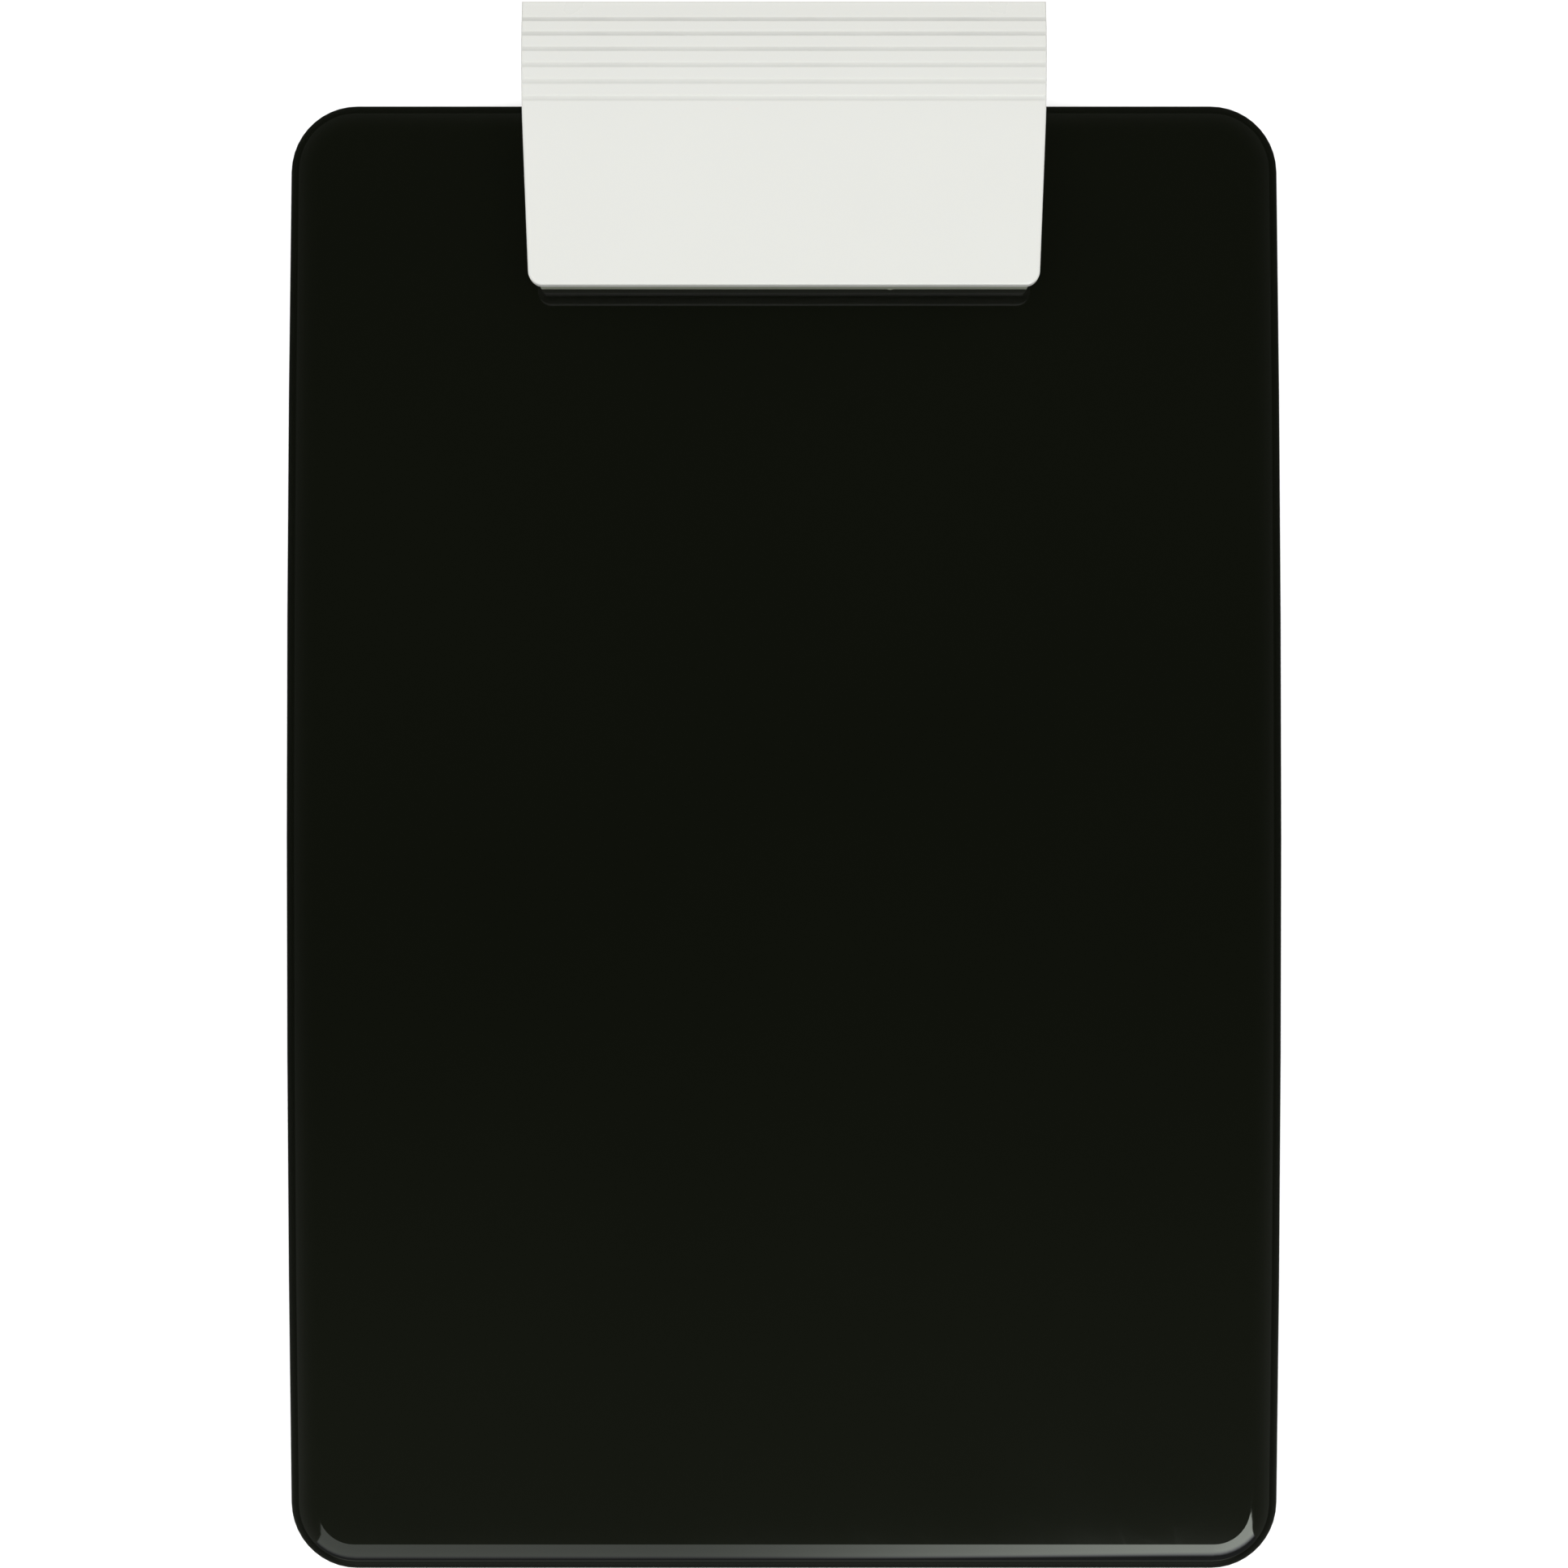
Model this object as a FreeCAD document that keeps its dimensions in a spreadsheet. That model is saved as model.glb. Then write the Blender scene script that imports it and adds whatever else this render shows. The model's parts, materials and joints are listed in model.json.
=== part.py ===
"""Lever-clip clipboard: a moulded board with a turned-down rim and a sprung plastic clip.

The frame is in millimetres. +X points right, +Y towards the clip, and +Z up from the writing face.
The origin is at the middle of the object's footprint, on the surface that it lies on.
"""

import FreeCAD, Part
import math
import os
import re

import Sketcher

DRIVING_SIZES = {
    # board
    "board_half_width": 114.3,
    "side_bow_radius": 10500,
    "board_bottom": -177,
    "board_head": 158.7,
    "board_corner": 15.4,
    "board_top": 7.2,
    "board_wall": 3.2,
    "edge_round": 7.1,
    "back_rib_width": 1.4,
    "back_rib_depth": 1.6,
    "back_rib_reach": 106,
    "back_rib_first": -120,
    "back_rib_pitch": 60,
    # clip lever
    "nose_front": 114.1,
    "nose_half_width": 56.9,
    "handle_half_width": 57.8,
    "handle_tip_half_width": 58.35,
    "taper_start": 152,
    "handle_end": 177.35,
    "crown_place": 153.9,
    "crown_height": 19,
    "crown_radius": 50,
    "plate_slope": 9.56,
    "plate_thick": 2.4,
    "nose_corner": 3.1,
    "lever_edge": 0.6,
    "groove_radius": 0.75,
    "groove_first": 0.25,
    "groove_pitch": 4.35,
    "groove_sink": 0.42,
    "groove_lip": 0.4,
    "lever_rib_depth": 2,
    "lever_rib_width": 1.4,
    "lever_rib_inner": 12,
    "lever_rib_outer": 54,
    "lever_rib_end_angle": 20,
    # jaw
    "jaw_front": 115.5,
    "jaw_wall": 2.2,
    "jaw_half_width": 55.1,
    "jaw_foot": 10,
    "jaw_wall_height": 12,
    "grip_lip": 0.4,
    "grip_rise": 1.3,
    "grip_gap": 0.12,
    # hinge
    "pivot_place": 142,
    "pivot_lift": 9,
    "rod_radius": 1.6,
    "rod_half_length": 46,
    "ear_radius": 4,
    "ear_flare": 1.5,
    "base_half_width": 45,
    "base_front": 131.5,
    "base_back": 151.5,
    "base_thick": 2.2,
    "base_corner": 2.5,
    "base_ear_inner": 23.5,
    "base_ear_outer": 38.5,
    "base_ear_width": 3,
    "base_bore_slack": 0.02,
    "lever_ear_inner": 19.9,
    "lever_ear_outer": 42,
    "lever_ear_width": 3.2,
    "lever_bore_slack": 0.05,
    "lever_ear_back": 13,
    "lever_ear_front": 9,
    "heel_start": 3,
    "heel_end": 8,
    "stop_angle": 22,
    "stop_slack": 0.1,
    "cap_radius": 3,
    "cap_width": 2,
    # springs
    "wire_radius": 0.7,
    "coil_radius": 2.9,
    "coil_centre": 31,
    "coil_width": 8,
    "coil_turns": 6,
    "leg_length": 8.9,
    "fixed_leg_dip": 22,
    "moving_leg_rise": 26.5,
    "sleeve_radius": 2.1,
    "sleeve_half_width": 5.8,
    # rivets
    "rivet_side": 31,
    "rivet_front": 135.6,
    "rivet_back": 147,
    "rivet_radius": 2,
    "rivet_hole_radius": 2.1,
    "rivet_head_radius": 3.7,
    "rivet_head_thick": 1.2,
    "rivet_head_edge": 0.8,
    "rivet_roll_radius": 3.1,
    "rivet_roll_thick": 1,
    "rivet_roll_edge": 0.7,
    "rivet_bore_radius": 1.2,
    "rivet_bore_depth": 2.4,
    "washer_radius": 4.5,
    "washer_thick": 0.8,
}

GROOVES = 6
BACK_RIBS = 4
SIDES = (("left", -1), ("right", 1))
TOLERANCE = 1e-6

document = FreeCAD.newDocument("clipboard")
sheet = document.addObject("Spreadsheet::Sheet", "Dimensions")


def fill_sheet():
    """Write each driving size beside its name, and give the cell that name as its alias."""
    for row, (alias, size) in enumerate(DRIVING_SIZES.items(), start=1):
        sheet.set(f"A{row}", alias)
        sheet.set(f"B{row}", str(size))
        sheet.setAlias(f"B{row}", alias)
    document.recompute()


def bound(formula):
    """Return a formula with each size's name pointing at its cell in the sheet."""
    return re.sub(r"[a-z_]{4,}", lambda word: qualified(word.group()), str(formula))


def qualified(word):
    return f"{sheet.Name}.{word}" if word in DRIVING_SIZES else word


def new_body(label):
    body = document.addObject("PartDesign::Body", label)
    body.Label = label
    body.Placement = FreeCAD.Placement()
    document.recompute()
    return body


def new_sketch(body, name, plane, centre):
    """Attach a sketch to one of the body's own planes, moved along that plane's normal."""
    sketch = body.newObject("Sketcher::SketchObject", name)
    support = next(item for item in body.Origin.OriginFeatures if item.Role == plane)
    sketch.AttachmentSupport = [(support, "")]
    sketch.MapMode = "FlatFace"
    sketch.setExpression("AttachmentOffset.Base.z", bound(centre))
    document.recompute()
    return sketch


def pin_point(sketch, element, end, place, axes="XY"):
    """Tie one point of a sketch element to the formulas that place it."""
    for axis, formula in zip("XY", place):
        if axis in axes:
            value = float(sketch.evalExpression(bound(formula)))
            kind = f"Distance{axis}"
            number = sketch.addConstraint(Sketcher.Constraint(kind, -1, 1, element, end, value))
            sketch.setExpression(f"Constraints[{number}]", bound(formula))


def located(sketch, place):
    return FreeCAD.Vector(*(float(sketch.evalExpression(bound(part))) for part in place), 0)


def draw_circle(sketch, place, radius):
    """Draw a circle whose centre and radius follow their formulas."""
    size = float(sketch.evalExpression(bound(radius)))
    circle = Part.Circle(located(sketch, place), FreeCAD.Vector(0, 0, 1), size)
    element = sketch.addGeometry(circle)
    pin_point(sketch, element, 3, place)
    number = sketch.addConstraint(Sketcher.Constraint("Radius", element, size))
    sketch.setExpression(f"Constraints[{number}]", bound(radius))


def draw_arc(sketch, start, end, centre):
    """Draw the shorter arc between two points and return it with its start and end numbers."""
    middle = located(sketch, centre)
    spokes = [start - middle, end - middle]
    clockwise = spokes[0].cross(spokes[1]).z < 0
    if clockwise:
        spokes.reverse()
    angles = [spoke.getAngle(FreeCAD.Vector(1, 0, 0)) * (1 if spoke.y >= 0 else -1) for spoke in spokes]
    circle = Part.Circle(middle, FreeCAD.Vector(0, 0, 1), spokes[0].Length)
    element = sketch.addGeometry(Part.ArcOfCircle(circle, *angles))
    return element, (2, 1) if clockwise else (1, 2)


def draw_loop(sketch, start, *steps):
    """Draw a closed outline from lines (a place) and arcs (a place and a centre)."""
    here = located(sketch, start)
    chain = []
    for place, *centre in steps:
        there = located(sketch, place)
        if centre:
            element, (first, last) = draw_arc(sketch, here, there, centre[0])
            pin_point(sketch, element, 3, centre[0])
            spoke = there - located(sketch, centre[0])
            pin_point(sketch, element, last, place, "X" if abs(spoke.y) > abs(spoke.x) else "Y")
        else:
            element, (first, last) = sketch.addGeometry(Part.LineSegment(here, there)), (1, 2)
            pin_point(sketch, element, last, place)
        chain.append((element, first, last))
        here = there
    for (before, _, end), (after, begin, _) in zip(chain, chain[1:] + chain[:1]):
        sketch.addConstraint(Sketcher.Constraint("Coincident", before, end, after, begin))


def extrude(body, name, plane, centre, length, *outlines, cut=False):
    """Pad or pocket outlines by equal amounts on both sides of a moved plane."""
    sketch = new_sketch(body, f"{name}_sketch", plane, centre)
    for outline in outlines:
        draw = draw_circle if len(outline) == 2 and isinstance(outline[1], str) else draw_loop
        draw(sketch, *outline)
    feature = body.newObject("PartDesign::Pocket" if cut else "PartDesign::Pad", name)
    feature.Profile = sketch
    feature.SideType = "Symmetric"
    feature.setExpression("Length", bound(length))
    volume = body.Shape.Volume if cut else 0
    document.recompute()
    if cut and feature.Shape.Volume > volume - TOLERANCE:
        raise RuntimeError(f"{body.Label}: {name} cuts nothing")
    return feature


def round_edges(body, name, base, radius, wanted):
    """Fillet the edges of a feature whose middle point passes a test."""
    names = [
        f"Edge{number}"
        for number, edge in enumerate(base.Shape.Edges, start=1)
        if wanted(edge.valueAt((edge.FirstParameter + edge.LastParameter) / 2))
    ]
    fillet = body.newObject("PartDesign::Fillet", name)
    fillet.Base = (base, names)
    fillet.setExpression("Radius", bound(radius))
    document.recompute()
    return fillet


def size_of(alias):
    return float(sheet.get(alias))


def at_level(height):
    """Return a test that keeps the points at one height."""
    return lambda point: abs(point.z - height) < TOLERANCE


def rectangle(left, low, right, high):
    """Return the loop of a rectangle given by two opposite corners."""
    return (left, low), ((right, low),), ((right, high),), ((left, high),), ((left, low),)


def rounded_rectangle(left, low, right, high, radius):
    """Return the loop of a rectangle with four equal round corners."""
    west, south = f"{left} + {radius}", f"{low} + {radius}"
    east, north = f"{right} - {radius}", f"{high} - {radius}"
    return (
        (west, low),
        ((east, low),),
        ((right, south), (east, south)),
        ((right, north),),
        ((east, high), (east, north)),
        ((west, high),),
        ((left, north), (west, north)),
        ((left, south),),
        ((west, low), (west, south)),
    )


def board_outline(inset):
    """Return the board's outline moved inwards: straight ends, bowed sides, tangent corner arcs."""
    middle = "((board_head + board_bottom) / 2)"
    bow_place = "(board_half_width - side_bow_radius)"
    reach = "(side_bow_radius - board_corner)"
    rise = "((board_head - board_bottom) / 2 - board_corner)"
    corner_place = f"({bow_place} + sqrt({reach} ^ 2 - {rise} ^ 2))"
    stretch = f"((side_bow_radius - {inset}) / {reach})"
    side_place = f"({bow_place} + ({corner_place} - {bow_place}) * {stretch})"
    low_end, high_end = f"board_bottom + {inset}", f"board_head - {inset}"
    low, high = "board_bottom + board_corner", "board_head - board_corner"
    low_side, high_side = f"{middle} - {rise} * {stretch}", f"{middle} + {rise} * {stretch}"
    return (
        (f"-{corner_place}", low_end),
        ((corner_place, low_end),),
        ((side_place, low_side), (corner_place, low)),
        ((side_place, high_side), (bow_place, middle)),
        ((corner_place, high_end), (corner_place, high)),
        ((f"-{corner_place}", high_end),),
        ((f"-{side_place}", high_side), (f"-{corner_place}", high)),
        ((f"-{side_place}", low_side), (f"-{bow_place}", middle)),
        ((f"-{corner_place}", low_end), (f"-{corner_place}", low)),
    )


def rivet_circles(radius):
    """Return one circle for each rivet."""
    return [
        ((f"{sign} * rivet_side", place), radius)
        for _, sign in SIDES
        for place in ("rivet_front", "rivet_back")
    ]


def both_sides(*places):
    """Return each place on the left and on the right of the middle."""
    return [f"{sign} * {place}" for _, sign in SIDES for place in places]


def between(low, high):
    """Return the middle and the length of a span."""
    return f"({low} + {high}) / 2", f"{high} - ({low})"


def make_board():
    """The board: one shell with a quarter-round rim, a shallow recess behind and light ribs in it."""
    body = new_body("board")
    blank = extrude(body, "blank", "XY_Plane", *between("0", "board_top"), board_outline("0"))
    top = size_of("board_top")
    round_edges(body, "rim", blank, "edge_round", at_level(top))
    ceiling = "(board_top - board_wall)"
    span = between(f"-{ceiling}", ceiling)
    recess = extrude(body, "recess", "XY_Plane", *span, board_outline("board_wall"), cut=True)
    roof = at_level(top - size_of("board_wall"))
    round_edges(body, "recess_corner", recess, "edge_round - board_wall", roof)
    span = between(f"{ceiling} - back_rib_depth", f"{ceiling} + board_wall / 2")
    places = [f"(back_rib_first + {number} * back_rib_pitch)" for number in range(BACK_RIBS)]
    ribs = [
        rectangle("-back_rib_reach", f"{place} - back_rib_width / 2",
                  "back_rib_reach", f"{place} + back_rib_width / 2")
        for place in places
    ]
    extrude(body, "back_ribs", "XY_Plane", *span, *ribs)
    extrude(body, "rivet_holes", "XY_Plane", *between("-1", "board_top + 1"),
            *rivet_circles("rivet_hole_radius"), cut=True)
    return body


def plate_band(top, bottom, front, end_angle):
    """Return a band under the lever's outer face: a straight slope that runs into the crown's arc.

    top and bottom are depths below the outer face, front is where the slope starts along Y, and
    end_angle is how far past the crown the arc runs.
    """
    centre = ("crown_place", "board_top + crown_height - crown_radius")

    def spoke(depth, sideways, upwards):
        length = f"(crown_radius - {depth})"
        return f"{centre[0]} + {length} * {sideways}", f"{centre[1]} + {length} * {upwards}"

    def slope_start(depth):
        across, up = spoke(depth, "-sin(plate_slope)", "cos(plate_slope)")
        return front, f"{up} - ({across} - ({front})) * tan(plate_slope)"

    tangent = ("(-sin(plate_slope))", "cos(plate_slope)")
    end = (f"sin({end_angle})", f"cos({end_angle})")
    return (
        slope_start(bottom),
        (slope_start(top),),
        (spoke(top, *tangent),),
        (spoke(top, *end), centre),
        (spoke(bottom, *end),),
        (spoke(bottom, *tangent), centre),
        (slope_start(bottom),),
    )


def lever_ear():
    """Return a lever ear: round the rod, with a heel that lands flat on the base at full opening."""
    pivot_up = "(board_top + pivot_lift)"
    drop = "(pivot_lift - base_thick - stop_slack)"

    def heel(along):
        return (
            f"pivot_place + {drop} * sin(stop_angle) + {along} * cos(stop_angle)",
            f"{pivot_up} - {drop} * cos(stop_angle) + {along} * sin(stop_angle)",
        )

    return (
        ("pivot_place - ear_radius", pivot_up),
        (("pivot_place", f"{pivot_up} - ear_radius"), ("pivot_place", pivot_up)),
        (heel("heel_start"),),
        (heel("heel_end"),),
        (("pivot_place + lever_ear_back", "board_top + crown_height - plate_thick / 2"),),
        (("pivot_place - lever_ear_front", "board_top + crown_height - plate_thick * 1.7"),),
        (("pivot_place - ear_radius", pivot_up),),
    )


def taper_wedge(sign):
    """Return the waste on one side, beyond the line that widens from the nose to the handle's tip."""
    front, back = "nose_front - 0.01", "handle_end + 1"
    waste_edge = f"{sign} * (handle_tip_half_width + 1)"
    return (
        (f"{sign} * handle_tip_half_width", back),
        ((f"{sign} * handle_half_width", "taper_start"),),
        ((f"{sign} * nose_half_width", front),),
        ((waste_edge, front),),
        ((waste_edge, back),),
        ((f"{sign} * handle_tip_half_width", back),),
    )


def groove_circle(number):
    """Return the round section of one grip groove, sunk into the crown's arc."""
    radius, angle = "(crown_radius + groove_sink)", f"(groove_first + {number} * groove_pitch)"
    across = f"crown_place + {radius} * sin{angle}"
    return (across, f"board_top + crown_height - crown_radius + {radius} * cos{angle}"), "groove_radius"


def is_nose_corner(point):
    """Say whether a point is on one of the two upright edges at the lever's nose."""
    at_front = abs(point.y - size_of("nose_front")) < size_of("groove_radius")
    return at_front and abs(point.x) > size_of("nose_half_width") - size_of("groove_radius")


def is_outer_face(point):
    """Say whether a point lies on the lever's outer face, on its straight slope or on its crown."""
    crown_up = size_of("board_top") + size_of("crown_height") - size_of("crown_radius")
    spoke = FreeCAD.Vector(0, point.y - size_of("crown_place"), point.z - crown_up)
    level = FreeCAD.Rotation(FreeCAD.Vector(1, 0, 0), -size_of("plate_slope")).multVec(spoke)
    height = level.z if level.y < 0 else spoke.Length
    return height > size_of("crown_radius") - TOLERANCE


def is_groove_lip(point):
    """Say whether a point is the middle of a long edge where a groove meets the crown."""
    first, pitch = size_of("groove_first"), size_of("groove_pitch")
    spread = pitch * GROOVES
    angle = math.degrees(math.asin((point.y - size_of("crown_place")) / size_of("crown_radius")))
    in_reach = first - pitch / 2 < angle < first + spread
    return in_reach and abs(point.x) < 1 and is_outer_face(point)


def make_lever():
    """The clip lever: a tapered plate, a curled and grooved handle, the jaw wall, ribs and ears."""
    body = new_body("clip_lever")
    through = "3 * handle_half_width"
    handle_angle = "asin((handle_end - crown_place) / crown_radius)"
    band = plate_band("0", "plate_thick", "nose_front", handle_angle)
    extrude(body, "plate", "YZ_Plane", "0", "2 * handle_tip_half_width + 2", band)
    wedges = [taper_wedge(sign) for _, sign in SIDES]
    tapered = extrude(body, "taper", "XY_Plane", "0", "4 * crown_height", *wedges, cut=True)
    cornered = round_edges(body, "nose_corners", tapered, "nose_corner", is_nose_corner)
    round_edges(body, "soft_edges", cornered, "lever_edge", is_outer_face)
    circles = [groove_circle(number) for number in range(GROOVES)]
    grooves = extrude(body, "grooves", "YZ_Plane", "0", through, *circles, cut=True)
    round_edges(body, "groove_lips", grooves, "groove_lip", is_groove_lip)
    front = "jaw_front + grip_lip"
    wall = rectangle(front, "jaw_foot", f"{front} + jaw_wall", "board_top + jaw_wall_height")
    extrude(body, "jaw_wall", "YZ_Plane", "0", "2 * jaw_half_width", wall)
    depths = ("(plate_thick - 0.4)", "(plate_thick + lever_rib_depth)")
    rib = plate_band(*depths, "jaw_front + jaw_wall / 2", "lever_rib_end_angle")
    for number, place in enumerate(both_sides("lever_rib_inner", "lever_rib_outer"), start=1):
        extrude(body, f"rib_{number}", "YZ_Plane", place, "lever_rib_width", rib)
    for number, place in enumerate(both_sides("lever_ear_inner", "lever_ear_outer"), start=1):
        extrude(body, f"ear_{number}", "YZ_Plane", place, "lever_ear_width", lever_ear())
    bore = (("pivot_place", "board_top + pivot_lift"), "rod_radius + lever_bore_slack")
    extrude(body, "rod_bore", "YZ_Plane", "0", through, bore, cut=True)
    return body


def make_jaw_grip():
    """The grip: a soft channel pressed over the jaw wall's foot along its whole length."""
    body = new_body("jaw_grip")
    low, high = "board_top + grip_gap", "jaw_foot + grip_rise"
    wall_front, wall_back = "jaw_front + grip_lip", "jaw_front + grip_lip + jaw_wall"
    channel = (
        ("jaw_front", low),
        ((f"{wall_back} + grip_lip", low),),
        ((f"{wall_back} + grip_lip", high),),
        ((wall_back, high),),
        ((wall_back, "jaw_foot"),),
        ((wall_front, "jaw_foot"),),
        ((wall_front, high),),
        (("jaw_front", high),),
        (("jaw_front", low),),
    )
    extrude(body, "channel", "YZ_Plane", "0", "2 * jaw_half_width", channel)
    return body


def make_hinge_base():
    """The hinge base: a flat plate on the board with four ears that carry the rod."""
    body = new_body("hinge_base")
    outline = rounded_rectangle("-base_half_width", "base_front", "base_half_width", "base_back",
                                "base_corner")
    seat = "(board_top + base_thick)"
    plate = extrude(body, "plate", "XY_Plane", *between("board_top", seat), outline)
    level = at_level(size_of("board_top") + size_of("base_thick"))
    round_edges(body, "soft_edges", plate, "lever_edge", level)
    pivot_up, foot_up = "(board_top + pivot_lift)", "board_top + base_thick / 2"
    ear = (
        ("pivot_place - ear_radius - ear_flare", foot_up),
        (("pivot_place + ear_radius + ear_flare", foot_up),),
        (("pivot_place + ear_radius", pivot_up),),
        (("pivot_place", f"{pivot_up} + ear_radius"), ("pivot_place", pivot_up)),
        (("pivot_place - ear_radius", pivot_up), ("pivot_place", pivot_up)),
        (("pivot_place - ear_radius - ear_flare", foot_up),),
    )
    for number, place in enumerate(both_sides("base_ear_inner", "base_ear_outer"), start=1):
        extrude(body, f"ear_{number}", "YZ_Plane", place, "base_ear_width", ear)
    bore = (("pivot_place", pivot_up), "rod_radius + base_bore_slack")
    extrude(body, "rod_bore", "YZ_Plane", "0", "2 * base_half_width", bore, cut=True)
    holes = rivet_circles("rivet_hole_radius")
    extrude(body, "rivet_holes", "XY_Plane", "board_top", "4 * base_thick", *holes, cut=True)
    return body


def make_tube(label, centre, length, radius, bore=None):
    """A round piece on the pivot axis, solid or with a bore."""
    body = new_body(label)
    place = ("pivot_place", "board_top + pivot_lift")
    extrude(body, "turned", "YZ_Plane", centre, length, (place, radius))
    if bore:
        extrude(body, "bore", "YZ_Plane", centre, f"2 * ({length})", (place, bore), cut=True)
    return body


def make_rod_pieces():
    """The pivot rod, and on each side its push-on cap and the sleeve that the spring sits on."""
    pieces = [make_tube("pivot_rod", "0", "2 * rod_half_length", "rod_radius")]
    cap_place = "(rod_half_length - cap_width / 2)"
    for side, sign in SIDES:
        cap = (f"{sign} * {cap_place}", "cap_width", "cap_radius", "rod_radius")
        sleeve = (f"{sign} * coil_centre", "2 * sleeve_half_width", "sleeve_radius",
                  "rod_radius + base_bore_slack")
        pieces.append(make_tube(f"rod_cap_{side}", *cap))
        pieces.append(make_tube(f"spring_sleeve_{side}", *sleeve))
    return pieces


def make_rivets():
    """The rivets: a head behind the board, a shank, and an end rolled over on the hinge base."""
    body = new_body("rivets")
    under = "(board_top - board_wall - washer_thick)"
    seat = "(board_top + base_thick)"
    span = between(f"{under} - rivet_head_thick", under)
    heads = extrude(body, "heads", "XY_Plane", *span, *rivet_circles("rivet_head_radius"))
    low = heads.Shape.BoundBox.ZMin
    round_edges(body, "domes", heads, "rivet_head_edge", at_level(low))
    span = between(f"{under} - rivet_head_thick / 2", f"{seat} + rivet_roll_thick / 2")
    extrude(body, "shanks", "XY_Plane", *span, *rivet_circles("rivet_radius"))
    span = between(seat, f"({seat} + rivet_roll_thick)")
    rolls = extrude(body, "rolled_ends", "XY_Plane", *span, *rivet_circles("rivet_roll_radius"))
    high = rolls.Shape.BoundBox.ZMax
    round_edges(body, "rolls", rolls, "rivet_roll_edge", at_level(high))
    top = f"({seat} + rivet_roll_thick)"
    circles = rivet_circles("rivet_bore_radius")
    extrude(body, "bores", "XY_Plane", top, "2 * rivet_bore_depth", *circles, cut=True)
    return body


def make_washers():
    """The washers that spread the rivet heads' load behind the board."""
    body = new_body("rivet_washers")
    roof = "(board_top - board_wall)"
    middle, thickness = between(f"{roof} - washer_thick", roof)
    extrude(body, "discs", "XY_Plane", middle, thickness, *rivet_circles("washer_radius"))
    holes = rivet_circles("rivet_hole_radius")
    extrude(body, "holes", "XY_Plane", middle, "3 * washer_thick", *holes, cut=True)
    return body


def spring_shape():
    """Return a torsion spring whose axis is +Z and whose coil starts on +X at the origin's level.

    The coil is a helix swept by a round section. Each leg is a straight cylinder that leaves the
    helix along its tangent, so both legs point the same way once the coil has made its turns.
    """
    radius, width = size_of("coil_radius"), size_of("coil_width")
    sweep = 360 * size_of("coil_turns") - 180 - size_of("fixed_leg_dip") - size_of("moving_leg_rise")
    helix = Part.Wire(Part.makeHelix(width * 360 / sweep, width, radius).Edges)
    first, last = helix.Edges[0], helix.Edges[-1]
    ends = [
        (first.valueAt(first.FirstParameter), first.tangentAt(first.FirstParameter).negative()),
        (last.valueAt(last.LastParameter), last.tangentAt(last.LastParameter)),
    ]
    section = Part.Wire(Part.makeCircle(size_of("wire_radius"), *ends[0]))
    coil = helix.makePipeShell([section], True, True)
    legs = [Part.makeCylinder(size_of("wire_radius"), size_of("leg_length"), *end) for end in ends]
    return coil.fuse(legs).removeSplitter()


def make_springs():
    """The two torsion springs: one leg of each presses the lever up and the other rests on the base."""
    rise = FreeCAD.Rotation(FreeCAD.Vector(1, 0, 0), 90 + size_of("moving_leg_rise"))
    spoke, axis = rise.multVec(FreeCAD.Vector(0, 1, 0)), FreeCAD.Vector(1, 0, 0)
    turn = FreeCAD.Rotation(spoke, axis.cross(spoke), axis, "ZXY")
    pieces = []
    for side, sign in SIDES:
        piece = document.addObject("Part::Feature", f"spring_{side}")
        piece.Label = f"spring_{side}"
        piece.Shape = spring_shape()
        place = sign * size_of("coil_centre") - size_of("coil_width") / 2
        pivot_up = size_of("board_top") + size_of("pivot_lift")
        piece.Placement = FreeCAD.Placement(FreeCAD.Vector(place, size_of("pivot_place"), pivot_up), turn)
        pieces.append(piece)
    return pieces


def write_parts(pieces):
    """Check every object and every piece, then write one file for each piece."""
    document.recompute()
    for item in document.Objects:
        if {"Invalid", "Error"} & set(item.State):
            raise RuntimeError(f"{item.Label} failed: {item.State}")
    for piece in pieces:
        shape = piece.Shape
        if shape.isNull() or not shape.isValid() or not shape.Solids:
            raise RuntimeError(f"{piece.Label} has no valid solid")
    os.makedirs("parts", exist_ok=True)
    for piece in pieces:
        piece.Shape.exportStep(f"parts/{piece.Label}.step")
        print(piece.Label, len(piece.Shape.Solids), "solids", round(piece.Shape.Volume), "mm3")


def main():
    fill_sheet()
    pieces = [make_board(), make_hinge_base(), make_lever(), make_jaw_grip()]
    pieces += make_rod_pieces()
    pieces += [make_rivets(), make_washers()]
    pieces += make_springs()
    write_parts(pieces)


main()
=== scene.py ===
"""Finishes, springs and moulding marks of a paper clipboard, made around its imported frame."""

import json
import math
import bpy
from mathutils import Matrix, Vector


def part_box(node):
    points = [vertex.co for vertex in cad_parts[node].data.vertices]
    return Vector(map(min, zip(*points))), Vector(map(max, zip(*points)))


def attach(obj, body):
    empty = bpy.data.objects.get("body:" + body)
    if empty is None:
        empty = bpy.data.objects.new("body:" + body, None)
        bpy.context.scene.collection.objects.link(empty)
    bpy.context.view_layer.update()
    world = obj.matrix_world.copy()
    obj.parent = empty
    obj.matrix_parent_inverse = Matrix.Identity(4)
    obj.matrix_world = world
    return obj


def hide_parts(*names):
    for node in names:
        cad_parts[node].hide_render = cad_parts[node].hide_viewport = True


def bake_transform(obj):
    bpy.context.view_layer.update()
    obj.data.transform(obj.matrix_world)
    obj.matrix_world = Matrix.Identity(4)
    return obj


bl_info = {
    "name": "Clipboard Finishes",
    "version": (1, 0, 0),
    "blender": (4, 5, 0),
    "location": "3D View > Sidebar > Clipboard",
    "description": "Gives a clipboard its plastics and metals, winds its springs and sets its stage",
    "category": "Object",
}

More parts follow.
